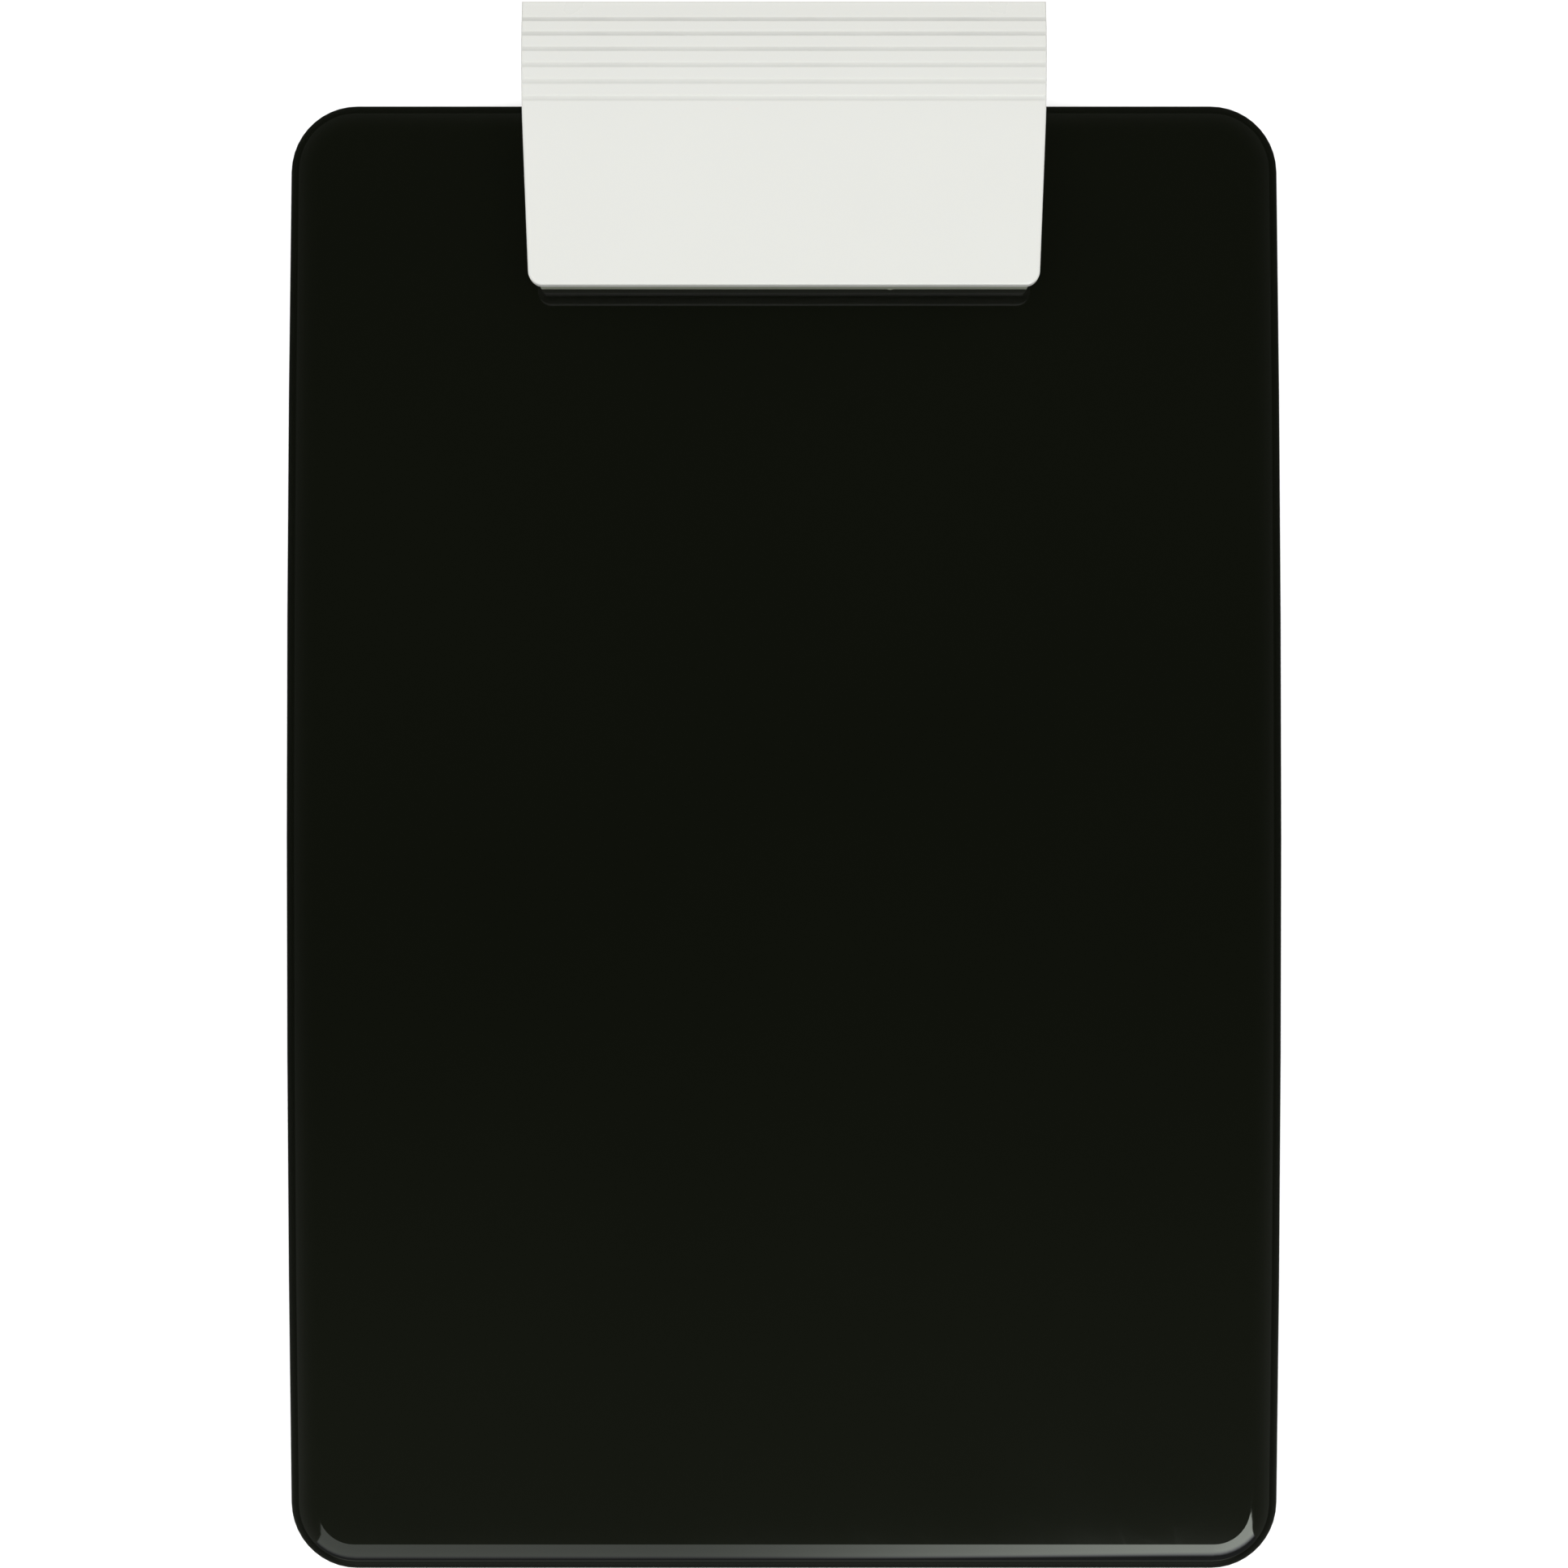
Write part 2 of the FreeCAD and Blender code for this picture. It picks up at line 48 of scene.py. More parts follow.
import bpy
import numpy as np
from bpy.props import FloatProperty, FloatVectorProperty, IntProperty, PointerProperty
from mathutils import Vector
from mathutils.bvhtree import BVHTree

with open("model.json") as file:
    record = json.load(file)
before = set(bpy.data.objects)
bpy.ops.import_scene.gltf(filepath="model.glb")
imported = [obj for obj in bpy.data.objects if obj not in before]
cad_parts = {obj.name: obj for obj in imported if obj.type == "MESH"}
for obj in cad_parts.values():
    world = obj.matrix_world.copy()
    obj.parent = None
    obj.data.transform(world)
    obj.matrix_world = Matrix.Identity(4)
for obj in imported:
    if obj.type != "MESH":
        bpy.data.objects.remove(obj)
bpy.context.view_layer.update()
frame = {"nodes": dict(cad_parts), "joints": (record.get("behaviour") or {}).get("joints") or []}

PIVOT = frame["joints"][0]["pos_m"]
BOARD_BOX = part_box("board")
LEVER_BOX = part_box("clip_lever")
GRIP_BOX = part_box("jaw_grip")
RIVET_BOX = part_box("rivets")
SIDES = ("left", "right")

COIL_STEPS = 520
LEG_STEPS = 14
EASED_TURN = 0.15
MARK_SIDES = 40
FLASH_ROWS = 12
FLASH_COLUMNS = 24


# Settings


def colour_setting(name, description, default):
    """A linear colour that the user can change."""
    return FloatVectorProperty(
        name=name, description=description, default=default, subtype="COLOR", min=0.0, max=1.0
    )


def share_setting(name, description, default):
    """A number from 0 to 1 that the user can change."""
    return FloatProperty(
        name=name, description=description, default=default, subtype="FACTOR", min=0.0, max=1.0
    )


def length_setting(name, description, default):
    """A length in metres that the user can change."""
    return FloatProperty(
        name=name, description=description, default=default, unit="LENGTH", min=0.0, precision=6
    )


def strength_setting(name, description, default):
    """The brightness of a light, in watts per square metre and steradian."""
    return FloatProperty(name=name, description=description, default=default, min=0.0)


class BoardLooks(bpy.types.PropertyGroup):
    """The gloss black plastic of the board."""

    gloss_colour: colour_setting(
        "Gloss colour", "Colour of the polished faces", (0.0030, 0.0036, 0.0019)
    )
    back_colour: colour_setting(
        "Back colour", "Colour of the grained underside", (0.010, 0.011, 0.009)
    )
    gloss_roughness: share_setting("Gloss roughness", "Roughness of the polished faces", 0.050)
    back_roughness: share_setting("Back roughness", "Roughness of the grained underside", 0.46)
    wave_length: length_setting("Wave length", "Spacing of the shrinkage waves in the gloss", 0.045)
    wave_height: length_setting("Wave height", "Height of the shrinkage waves", 0.00003)
    grain_size: length_setting("Grain size", "Size of the underside's grain", 0.0007)
    grain_height: length_setting("Grain height", "Depth of the underside's grain", 0.00005)


class ClipLooks(bpy.types.PropertyGroup):
    """The white plastic of the lever and its base, and the jaw's rubber."""

    lever_colour: colour_setting("Lever colour", "Colour of the lever", (0.745, 0.750, 0.712))
    base_colour: colour_setting("Base colour", "Colour of the hinge base", (0.70, 0.71, 0.67))
    handled_colour: colour_setting(
        "Handled colour", "Colour that the handle's tip has yellowed towards", (0.745, 0.742, 0.690)
    )
    # The strip's dark olive colour is partly the rubber's own and partly painted shade from the lever's
    # nose.
    grip_colour_and_shade: colour_setting("Grip colour and shade", "Colour of the jaw's strip", (0.30, 0.32, 0.25))
    lever_roughness: share_setting("Lever roughness", "Roughness of the lever", 0.36)
    # The groove setting is painted shade: how far the handle's grooves are darkened.
    groove_shade: share_setting("Groove shade", "How far the grooves have darkened", 0.22)
    grain_size: length_setting("Grain size", "Size of the satin grain", 0.00035)
    grain_height: length_setting("Grain height", "Depth of the satin grain", 0.000004)
    crown_place: length_setting("Crown place", "Where the crown's arc is centred along Y", 0.1539)
    crown_radius: length_setting("Crown radius", "Radius of the handle's curled top", 0.050)


class FittingLooks(bpy.types.PropertyGroup):
    """The steel, zinc, aluminium and nylon of the fittings."""

    rod_colour: colour_setting("Rod colour", "Colour of the drawn rod", (0.60, 0.59, 0.57))
    cap_colour: colour_setting("Cap colour", "Colour of the zinc plate", (0.56, 0.57, 0.58))
    spring_colour: colour_setting("Spring colour", "Colour of the wire", (0.27, 0.26, 0.25))
    rivet_colour: colour_setting("Rivet colour", "Colour of the rivets", (0.77, 0.77, 0.78))
    washer_colour: colour_setting("Washer colour", "Colour of the washers", (0.66, 0.66, 0.67))
    sleeve_colour: colour_setting("Sleeve colour", "Colour of the nylon", (0.74, 0.73, 0.66))


class SpringSizes(bpy.types.PropertyGroup):
    """The sizes of the two torsion springs."""

    wire_radius: length_setting("Wire radius", "Radius of the spring wire", 0.0007)
    coil_radius: length_setting("Coil radius", "Radius to the middle of the wire", 0.0029)
    coil_width: length_setting("Coil width", "Length of the coil along the rod", 0.008)
    leg_length: length_setting("Leg length", "Length of each straight leg", 0.0089)
    tip_round: length_setting("Tip round", "How far the cut ends are rounded over", 0.00025)
    first_angle: FloatProperty(
        name="First angle",
        description="Where the coil starts, measured from +Y towards +Z",
        default=math.radians(116.5),
        unit="ROTATION",
    )
    sweep: FloatProperty(
        name="Sweep",
        description="How far the coil turns from its first end to its last",
        default=math.radians(1931.5),
        unit="ROTATION",
    )
    ring_sides: IntProperty(
        name="Ring sides", description="Flat sides round the wire", default=20, min=6
    )


class MarkSizes(bpy.types.PropertyGroup):
    """The sizes of the marks that the moulds leave."""

    board_pin: length_setting("Board pin", "Radius of the ejector pins of the board", 0.004)
    lever_pin: length_setting("Lever pin", "Radius of the ejector pins of the lever", 0.0022)
    witness: length_setting("Witness", "Height of the ring round an ejector pin", 0.00016)
    gate_radius: length_setting("Gate radius", "Radius of the broken sprue", 0.0014)
    gate_height: length_setting("Gate height", "Height of the broken sprue", 0.0007)
    flash_place: length_setting("Flash place", "Where the jaw strip's flash is, along X", 0.0241)


class StageLooks(bpy.types.PropertyGroup):
    """The floor, lights and camera."""

    floor_colour: colour_setting("Floor colour", "Colour of the pale floor", (0.82, 0.82, 0.82))
    floor_glow: strength_setting("Floor glow", "Light that the floor itself gives", 0.42)
    camera_height: length_setting("Camera height", "Height above the board's top face", 0.600)
    camera_shift: length_setting("Camera shift", "How far the camera is towards the clip", 0.00305)
    lens: FloatProperty(
        name="Lens", description="Focal length, in millimetres", default=60.58, min=1.0
    )
    ceiling: strength_setting("Ceiling", "Brightness of the light overhead", 0.95)
    dome: strength_setting("Dome", "Brightness of the soft dome round the object", 0.85)
    window_left: strength_setting("Window, left", "Brightness of the window's left side", 1.12)
    window_right: strength_setting("Window, right", "Brightness of its right side", 5.4)
    window_head: FloatVectorProperty(
        name="Window head",
        description="Left and right corner of the window's upper edge along X",
        default=(-0.27, 0.33),
        size=2,
        unit="LENGTH",
    )
    window_sill: FloatVectorProperty(
        name="Window sill",
        description="Left and right corner of the window's lower edge along X",
        default=(-0.95, 1.10),
        size=2,
        unit="LENGTH",
    )
    dusk: strength_setting("Dusk", "Brightness of the window's foot", 0.18)
    dusk_top: length_setting("Dusk top", "Height where the window starts to fade", 0.34)
    dusk_foot: length_setting("Dusk foot", "Height where the window has faded", 0.17)


# Meshes


def mesh_piece(name, vertices, faces, material, body=None, smooth=True):
    """Puts arrays of vertices and faces into a new object at the origin, which rides on a body when one
    is given.
    """
    mesh = bpy.data.meshes.new(name)
    mesh.from_pydata(np.asarray(vertices).tolist(), [], faces)
    mesh.polygons.foreach_set("use_smooth", np.full(len(mesh.polygons), smooth))
    mesh.materials.append(material)
    mesh.update()
    piece = bpy.data.objects.new(name, mesh)
    bpy.context.scene.collection.objects.link(piece)
    if body is not None:
        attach(piece, body)
    return piece


def ring_faces(rings, sides, starts=(0,)):
    """Faces of a closed skin over rings of vertices that have one pole before them and one after.

    A skin's first vertex is the first pole, then come its rings in order, and its last vertex
    is the other pole. Each quad joins a ring's neighbouring pair to the next ring's pair, and a
    fan of triangles joins each end ring to its pole. starts holds each skin's first vertex.
    """
    ring = np.arange(rings - 1)[:, None] * sides + 1
    side = np.arange(sides)[None, :]
    after = (side + 1) % sides
    corners = (ring + side, ring + after, ring + sides + after, ring + sides + side)
    quads = np.stack(corners, axis=-1).reshape(-1, 4)
    last_ring = (rings - 1) * sides + 1
    last_pole = rings * sides + 1
    around = side[0]
    onward = after[0]
    first_fan = np.stack((np.zeros(sides, int), 1 + onward, 1 + around), axis=-1)
    last_fan = np.stack(
        (np.full(sides, last_pole), last_ring + around, last_ring + onward), axis=-1
    )
    first_vertex = np.asarray(starts)[:, None, None]
    return [
        face
        for part in (quads, first_fan, last_fan)
        for face in (first_vertex + part).reshape(-1, part.shape[1]).tolist()
    ]


def turned_marks(places, normals, profile):
    """Vertices and faces of the same turned shape set at several places.

    The shape is the profile of radius r and height h, turned about the normal N that each
    place P has: a point is P plus r times (cos a times U plus sin a times V) plus h times N,
    where U and V are the two directions square to N. The profile begins and ends on the axis,
    and runs from the top down; it is turned over here, so that the faces point outwards.
    """
    normals = np.asarray(normals, float)
    helper = np.where(np.abs(normals[:, :1]) < 0.9, [[1.0, 0.0, 0.0]], [[0.0, 1.0, 0.0]])
    across = np.cross(normals, helper)
    across /= np.linalg.norm(across, axis=1, keepdims=True)
    beside = np.cross(normals, across)
    angle = np.linspace(0.0, math.tau, MARK_SIDES, endpoint=False)
    spoke = np.cos(angle)[None, :, None] * across[:, None, :]
    spoke = spoke + np.sin(angle)[None, :, None] * beside[:, None, :]
    radius, height = np.asarray(profile, float)[::-1].T
    centre = np.asarray(places, float)[:, None, :] + height[None, :, None] * normals[:, None, :]
    rings = centre[:, 1:-1, None, :] + radius[None, 1:-1, None, None] * spoke[:, None, :, :]
    count = len(radius) - 2
    rings = rings.reshape(len(normals), count * MARK_SIDES, 3)
    shells = np.concatenate((centre[:, :1], rings, centre[:, -1:]), axis=1)
    starts = np.arange(len(normals)) * shells.shape[1]
    return shells.reshape(-1, 3), ring_faces(count, MARK_SIDES, starts)


def coil_share(share, ease):
    """How far along the coil's width a share of its turn is.

    The pitch grows from nothing to its full value over the first share called ease, stays
    even, and fades away again over the last: the end turns lie square to the rod.
    """
    rising = share**2 / (2 * ease)
    middle = share - ease / 2
    falling = 1 - ease - (1 - share) ** 2 / (2 * ease)
    travelled = np.where(share < ease, rising, np.where(share > 1 - ease, falling, middle))
    return travelled / (1 - ease)


def spring_path(sizes, middle):
    """Centre line of a torsion spring, as points along the wire.

    The coil is a helix about the rod: y and z are the pivot's plus the coil's radius times the
    cosine and sine of the angle, and x is the coil's width times the share that coil_share
    gives. Each leg is a straight line that leaves its end of the coil along the tangent there.
    """
    share = np.linspace(0.0, 1.0, COIL_STEPS)
    angle = sizes.first_angle + share * sizes.sweep
    ease = EASED_TURN * math.tau / sizes.sweep
    coil = np.stack(
        (
            middle + sizes.coil_width * (coil_share(share, ease) - 0.5),
            PIVOT[1] + sizes.coil_radius * np.cos(angle),
            PIVOT[2] + sizes.coil_radius * np.sin(angle),
        ),
        axis=-1,
    )
    first, last = angle[0], angle[-1]
    back_along = np.array((0.0, math.sin(first), -math.cos(first)))
    on_along = np.array((0.0, -math.sin(last), math.cos(last)))
    tip = np.array((0.0, 0.02, 0.08, 0.25, 0.55, 1.0)) * sizes.tip_round
    straight = np.linspace(0.0, sizes.leg_length - sizes.tip_round, LEG_STEPS)[1:-1]
    reach = np.concatenate((straight, sizes.leg_length - tip[::-1]))
    moving_leg = coil[0] + reach[::-1, None] * back_along
    fixed_leg = coil[-1] + reach[:, None] * on_along
    return np.concatenate((moving_leg, coil, fixed_leg))


def wire_skin(path, sizes):
    """Vertices of a round wire along a path: rings, with a pole at each cut end.

    A ring's point is the path's plus the wire's radius times (cos a times M plus sin a times B),
    where B is the rod's direction made square to the wire and M is square to both. The radius
    falls to the ends like a quarter circle over the rounded tip.
    """
    step = np.gradient(path, axis=0)
    along = step / np.linalg.norm(step, axis=1, keepdims=True)
    rod = np.array((1.0, 0.0, 0.0))
    beside = rod - along * (along @ rod)[:, None]
    beside /= np.linalg.norm(beside, axis=1, keepdims=True)
    out = np.cross(beside, along)
    travelled = np.concatenate(
        ([0.0], np.cumsum(np.linalg.norm(np.diff(path, axis=0), axis=1)))
    )
    from_tip = np.minimum(travelled, travelled[-1] - travelled)
    lost = 1 - np.clip(from_tip / sizes.tip_round, 0.0, 1.0)
    inner_radius = sizes.wire_radius - sizes.tip_round
    radius = inner_radius + sizes.tip_round * np.sqrt(1 - lost**2)
    angle = np.linspace(0.0, math.tau, sizes.ring_sides, endpoint=False)
    spoke = np.cos(angle)[None, :, None] * out[:, None, :]
    spoke = spoke + np.sin(angle)[None, :, None] * beside[:, None, :]
    rings = path[:, None, :] + radius[:, None, None] * spoke
    vertices = np.concatenate((path[:1], rings.reshape(-1, 3), path[-1:]))
    return vertices, travelled


def wrap_wire(mesh, travelled, sides):
    """Gives a wire its UV map: U is the distance along the wire and V the share of its girth.

    The faces are in the order of ring_faces: quads ring by ring, then the two fans.
    """
    ring = np.arange(len(travelled) - 1)[:, None]
    side = np.arange(sides)[None, :]
    near = np.broadcast_to(travelled[ring], (len(travelled) - 1, sides))
    far = np.broadcast_to(travelled[ring + 1], near.shape)
    low = np.broadcast_to(side / sides, near.shape)
    high = np.broadcast_to((side + 1) / sides, near.shape)
    quads = np.stack((near, low, near, high, far, high, far, low), axis=-1).reshape(-1)
    around = side[0] / sides
    onward = (side[0] + 1) / sides
    ends = []
    for distance, first, second in (
        (travelled[0], onward, around),
        (travelled[-1], around, onward),
    ):
        same = np.full(sides, distance)
        ends.append(np.stack((same, around, same, first, same, second), axis=-1).reshape(-1))
    layer = mesh.uv_layers.new(name="wire")
    layer.uv.foreach_set("vector", np.concatenate((quads, *ends)).astype(np.float32))


# Nodes


class Finish:
    """A material being made: its one shader, and calls that add the nodes that feed it."""

    def __init__(self, name):
        self.material = bpy.data.materials.new(name)
        self.material.use_nodes = True
        self.tree = self.material.node_tree
        self.tree.nodes.clear()
        self.shader = self.tree.nodes.new("ShaderNodeBsdfPrincipled")
        output = self.tree.nodes.new("ShaderNodeOutputMaterial")
        self.tree.links.new(self.shader.outputs["BSDF"], output.inputs["Surface"])
        where = self.tree.nodes.new("ShaderNodeTexCoord")
        self.place = where.outputs["Object"]
        self.facing = where.outputs["Normal"]
        self.wrap = where.outputs["UV"]

    def feed(self, socket, source):
        """Links a socket to another, or puts a number or colour on it."""
        if isinstance(source, bpy.types.NodeSocket):
            self.tree.links.new(source, socket)
        elif socket.type == "RGBA":
            socket.default_value = (*source[:3], 1.0)
        else:
            socket.default_value = source

    def shade(self, **sources):
        """Feeds the shader's sockets: an underscore stands for a space in a socket's name."""
        for name, source in sources.items():
            self.feed(self.shader.inputs[name.replace("_", " ")], source)

    def calculate(self, operation, first, second=0.0):
        """The result of a Math node."""
        node = self.tree.nodes.new("ShaderNodeMath")
        node.operation = operation
        self.feed(node.inputs[0], first)
        self.feed(node.inputs[1], second)
        return node.outputs[0]

    def times(self, first, second):
        """The product of two numbers."""
        return self.calculate("MULTIPLY", first, second)

    def plus(self, first, second):
        """The sum of two numbers."""
        return self.calculate("ADD", first, second)

    def part(self, vector, letter):
        """One part of a vector: X, Y or Z."""
        node = self.tree.nodes.new("ShaderNodeSeparateXYZ")
        self.feed(node.inputs[0], vector)
        return node.outputs[letter]

    def stretch(self, vector, scale, turn=0.0):
        """A place turned about Z and then scaled, for patterns with a direction."""
        node = self.tree.nodes.new("ShaderNodeMapping")
        node.vector_type = "POINT"
        self.feed(node.inputs["Vector"], vector)
        node.inputs["Rotation"].default_value = (0.0, 0.0, turn)
        scaled = self.tree.nodes.new("ShaderNodeVectorMath")
        scaled.operation = "MULTIPLY"
        self.feed(scaled.inputs[0], node.outputs["Vector"])
        scaled.inputs[1].default_value = scale
        return scaled.outputs[0]

    def clouds(self, size, detail=2.0, place=None):
        """Soft noise from 0 to 1 with patches of a size in metres."""
        node = self.tree.nodes.new("ShaderNodeTexNoise")
        self.feed(node.inputs["Vector"], self.place if place is None else place)
        node.inputs["Scale"].default_value = 1.0 / size
        node.inputs["Detail"].default_value = detail
        return node.outputs["Fac"]

    def cells(self, size, output="Distance"):
        """Cells of a size in metres: the distance to a cell's seed, or another output."""
        node = self.tree.nodes.new("ShaderNodeTexVoronoi")
        self.feed(node.inputs["Vector"], self.place)
        node.inputs["Scale"].default_value = 1.0 / size
        return node.outputs[output]

    def ramp(self, value, low, high, first=0.0, last=1.0):
        """A number that eases from first to last as value goes from low to high."""
        node = self.tree.nodes.new("ShaderNodeMapRange")
        node.interpolation_type = "SMOOTHSTEP"
        self.feed(node.inputs["Value"], value)
        node.inputs["From Min"].default_value = low
        node.inputs["From Max"].default_value = high
        node.inputs["To Min"].default_value = first
        node.inputs["To Max"].default_value = last
        return node.outputs["Result"]

    def mix(self, share, first, second):
        """A colour between two colours."""
        node = self.tree.nodes.new("ShaderNodeMix")
        node.data_type = "RGBA"
        colour_a, colour_b = (socket for socket in node.inputs if socket.type == "RGBA")
        self.feed(node.inputs["Factor"], share)
        self.feed(colour_a, first)
        self.feed(colour_b, second)
        return next(socket for socket in node.outputs if socket.type == "RGBA")

    def relief(self, height, depth, below=None):
        """A normal that follows a height from 0 to 1 over a depth in metres."""
        node = self.tree.nodes.new("ShaderNodeBump")
        self.feed(node.inputs["Height"], height)
        node.inputs["Distance"].default_value = depth
        if below is not None:
            self.feed(node.inputs["Normal"], below)
        return node.outputs["Normal"]

    def hairlines(self, spacing, length, turn):
        """Sparse fine scratches in one direction, 1 on a scratch and 0 elsewhere."""
        stretched = self.stretch(self.place, (1 / length, 1 / spacing, 1 / length), turn)
        lines = self.clouds(1.0, 0.0, stretched)
        return self.ramp(lines, 0.735, 0.775)


def scaled(colour, factor):
    """A colour made lighter or darker."""
    return tuple(channel * factor for channel in colour[:3])


# Plastics and rubber


def board_plastic(looks):
    """Polished black plastic that is grained underneath and scuffed where it rests."""
    finish = Finish("board_gloss_black")
    height = finish.part(finish.place, "Z")
    upward = finish.part(finish.facing, "Z")
    back = finish.ramp(upward, -0.35, -0.75)
    front = finish.calculate("SUBTRACT", 1.0, back)
    foot = finish.times(
        finish.ramp(height, 0.0016, 0.0002), finish.ramp(finish.clouds(0.004, 3.0), 0.45, 0.62)
    )
    gloss = finish.mix(
        finish.clouds(0.09, 4.0), scaled(looks.gloss_colour, 0.82), scaled(looks.gloss_colour, 1.18)
    )
    grained = finish.mix(
        finish.clouds(0.03, 5.0), scaled(looks.back_colour, 0.75), scaled(looks.back_colour, 1.3)
    )
    whole = finish.mix(back, gloss, grained)
    scuffed = (0.035, 0.036, 0.034)
    finish.shade(Base_Color=finish.mix(finish.times(foot, 0.35), whole, scuffed))

    handled = finish.ramp(finish.clouds(0.055, 6.0), 0.42, 0.72, 0.0, 0.018)
    scratches = finish.plus(
        finish.hairlines(0.00035, 0.030, 0.35), finish.hairlines(0.0004, 0.022, 1.15)
    )
    polished = finish.plus(
        finish.plus(looks.gloss_roughness, handled), finish.times(scratches, 0.012)
    )
    rough = finish.plus(
        finish.times(polished, front), finish.times(back, looks.back_roughness)
    )
    finish.shade(Roughness=finish.plus(rough, finish.times(foot, 0.25)))

    waves = finish.relief(finish.times(finish.clouds(looks.wave_length, 1.0), front), looks.wave_height)
    grain = finish.times(finish.cells(looks.grain_size), back)
    pitted = finish.relief(grain, looks.grain_height, waves)
    finish.shade(Normal=pitted)
    finish.shade(IOR=1.53, Specular_IOR_Level=0.5)
    return finish.material


def clip_plastic(looks):
    """Satin white plastic, a little rougher in the handle's grooves, which are also darkened with
    painted shade that deepens towards the handle's tip.

    A groove is where the surface is nearer the crown's centre line than the crown's radius.
    """
    finish = Finish("clip_satin_white")
    along = finish.part(finish.place, "Y")
    height = finish.part(finish.place, "Z")
    upward = finish.part(finish.facing, "Z")
    centre_height = LEVER_BOX[1].z - looks.crown_radius
    behind = finish.calculate("SUBTRACT", along, looks.crown_place)
    above = finish.calculate("SUBTRACT", height, centre_height)
    squares = finish.plus(finish.times(behind, behind), finish.times(above, above))
    from_centre = finish.calculate("SQRT", squares)
    sunk = finish.ramp(from_centre, looks.crown_radius - 0.00002, looks.crown_radius - 0.00026)
    on_top = finish.times(finish.ramp(upward, 0.2, 0.5), finish.ramp(along, 0.1515, 0.1525))
    groove = finish.times(sunk, on_top)
    # Painted shade: the groove mask darkens the grooves in patches, more so towards the handle's tip.
    patchy = finish.ramp(finish.clouds(0.012, 4.0), 0.3, 0.75, 0.75, 1.0)
    shade_towards_tip = finish.ramp(along, 0.153, 0.175, 0.55, 1.5)
    groove_shade_mask = finish.times(finish.times(groove, patchy), shade_towards_tip)
    handled = finish.ramp(along, 0.160, 0.176)

    fresh = finish.mix(
        finish.clouds(0.035, 5.0), scaled(looks.lever_colour, 0.992), scaled(looks.lever_colour, 1.008)
    )
    warm = finish.mix(finish.times(handled, 0.25), fresh, looks.handled_colour)
    # The darker colour mixed into the grooves here is painted shade.
    finish.shade(
        Base_Color=finish.mix(
            finish.times(groove_shade_mask, looks.groove_shade), warm, scaled(looks.lever_colour, 0.35)
        )
    )

    satin = finish.ramp(finish.clouds(0.020, 6.0), 0.35, 0.70, -0.03, 0.05)
    rough = finish.plus(finish.plus(looks.lever_roughness, satin), finish.times(groove, 0.12))
    finish.shade(Roughness=finish.calculate("SUBTRACT", rough, finish.times(handled, 0.06)))

    sinks = finish.relief(finish.clouds(0.030, 1.0), 0.00005)
    finish.shade(Normal=finish.relief(finish.clouds(looks.grain_size, 3.0), looks.grain_height, sinks))
    finish.shade(IOR=1.49, Subsurface_Weight=0.04, Subsurface_Radius=(0.8, 0.7, 0.5))
    finish.shade(Subsurface_Scale=0.0012)
    return finish.material


def hinge_plastic(looks):
    """White plastic from a spark-eroded mould, with flow lines across the base."""
    finish = Finish("hinge_base_white")
    flow = finish.clouds(1.0, 3.0, finish.stretch(finish.place, (18.0, 140.0, 60.0), 0.1))
    tone = finish.plus(finish.times(flow, 0.5), finish.times(finish.clouds(0.006, 4.0), 0.5))
    finish.shade(
        Base_Color=finish.mix(tone, scaled(looks.base_colour, 0.93), scaled(looks.base_colour, 1.05))
    )
    finish.shade(Roughness=finish.ramp(finish.clouds(0.004, 4.0), 0.3, 0.7, 0.46, 0.60))
    eroded = finish.relief(finish.cells(0.00045), 0.000018)
    finish.shade(Normal=finish.relief(finish.clouds(0.0022, 4.0), 0.00002, eroded), IOR=1.49)
    return finish.material


def grip_rubber(looks):
    """Matt extruded rubber whose dark colour is partly its own and partly painted shade from the nose
    above it: fine lines along the strip, paper dust on it, a darker foot.
    """
    finish = Finish("jaw_strip_rubber")
    height = finish.part(finish.place, "Z")
    drawn = finish.clouds(1.0, 3.0, finish.stretch(finish.place, (25.0, 5200.0, 5200.0)))
    # The strip is darker towards its foot, over its lowest millimetre.
    towards_foot = finish.ramp(height, GRIP_BOX[0].z + 0.0011, GRIP_BOX[0].z + 0.0002)
    # The strip colour used here is partly painted shade.
    tone = finish.mix(drawn, scaled(looks.grip_colour_and_shade, 0.86), scaled(looks.grip_colour_and_shade, 1.12))
    foot = finish.mix(finish.times(towards_foot, 0.45), tone, scaled(looks.grip_colour_and_shade, 0.55))
    dust = finish.ramp(finish.clouds(0.0013, 5.0), 0.60, 0.74, 0.0, 0.35)
    finish.shade(Base_Color=finish.mix(dust, foot, scaled(looks.grip_colour_and_shade, 1.5)))
    finish.shade(Roughness=finish.ramp(finish.clouds(0.003, 4.0), 0.3, 0.7, 0.62, 0.80))
    lines = finish.relief(drawn, 0.00003)
    finish.shade(Normal=finish.relief(finish.clouds(0.0005, 3.0), 0.00002, lines), IOR=1.50)
    return finish.material


def sleeve_nylon(looks):
    """Natural nylon: milky, faintly mottled, with turning lines round the sleeve."""
    finish = Finish("sleeve_nylon")
    rings = finish.clouds(1.0, 2.0, finish.stretch(finish.place, (4200.0, 90.0, 90.0)))
    mottle = finish.clouds(0.0016, 4.0)
    finish.shade(
        Base_Color=finish.mix(
            mottle, scaled(looks.sleeve_colour, 0.90), scaled(looks.sleeve_colour, 1.07)
        )
    )
    finish.shade(Roughness=finish.ramp(rings, 0.35, 0.65, 0.34, 0.50))
    finish.shade(Normal=finish.relief(rings, 0.00001), IOR=1.53)
    finish.shade(Subsurface_Weight=0.15, Subsurface_Radius=(1.0, 0.9, 0.7), Subsurface_Scale=0.001)
    return finish.material


# Metals


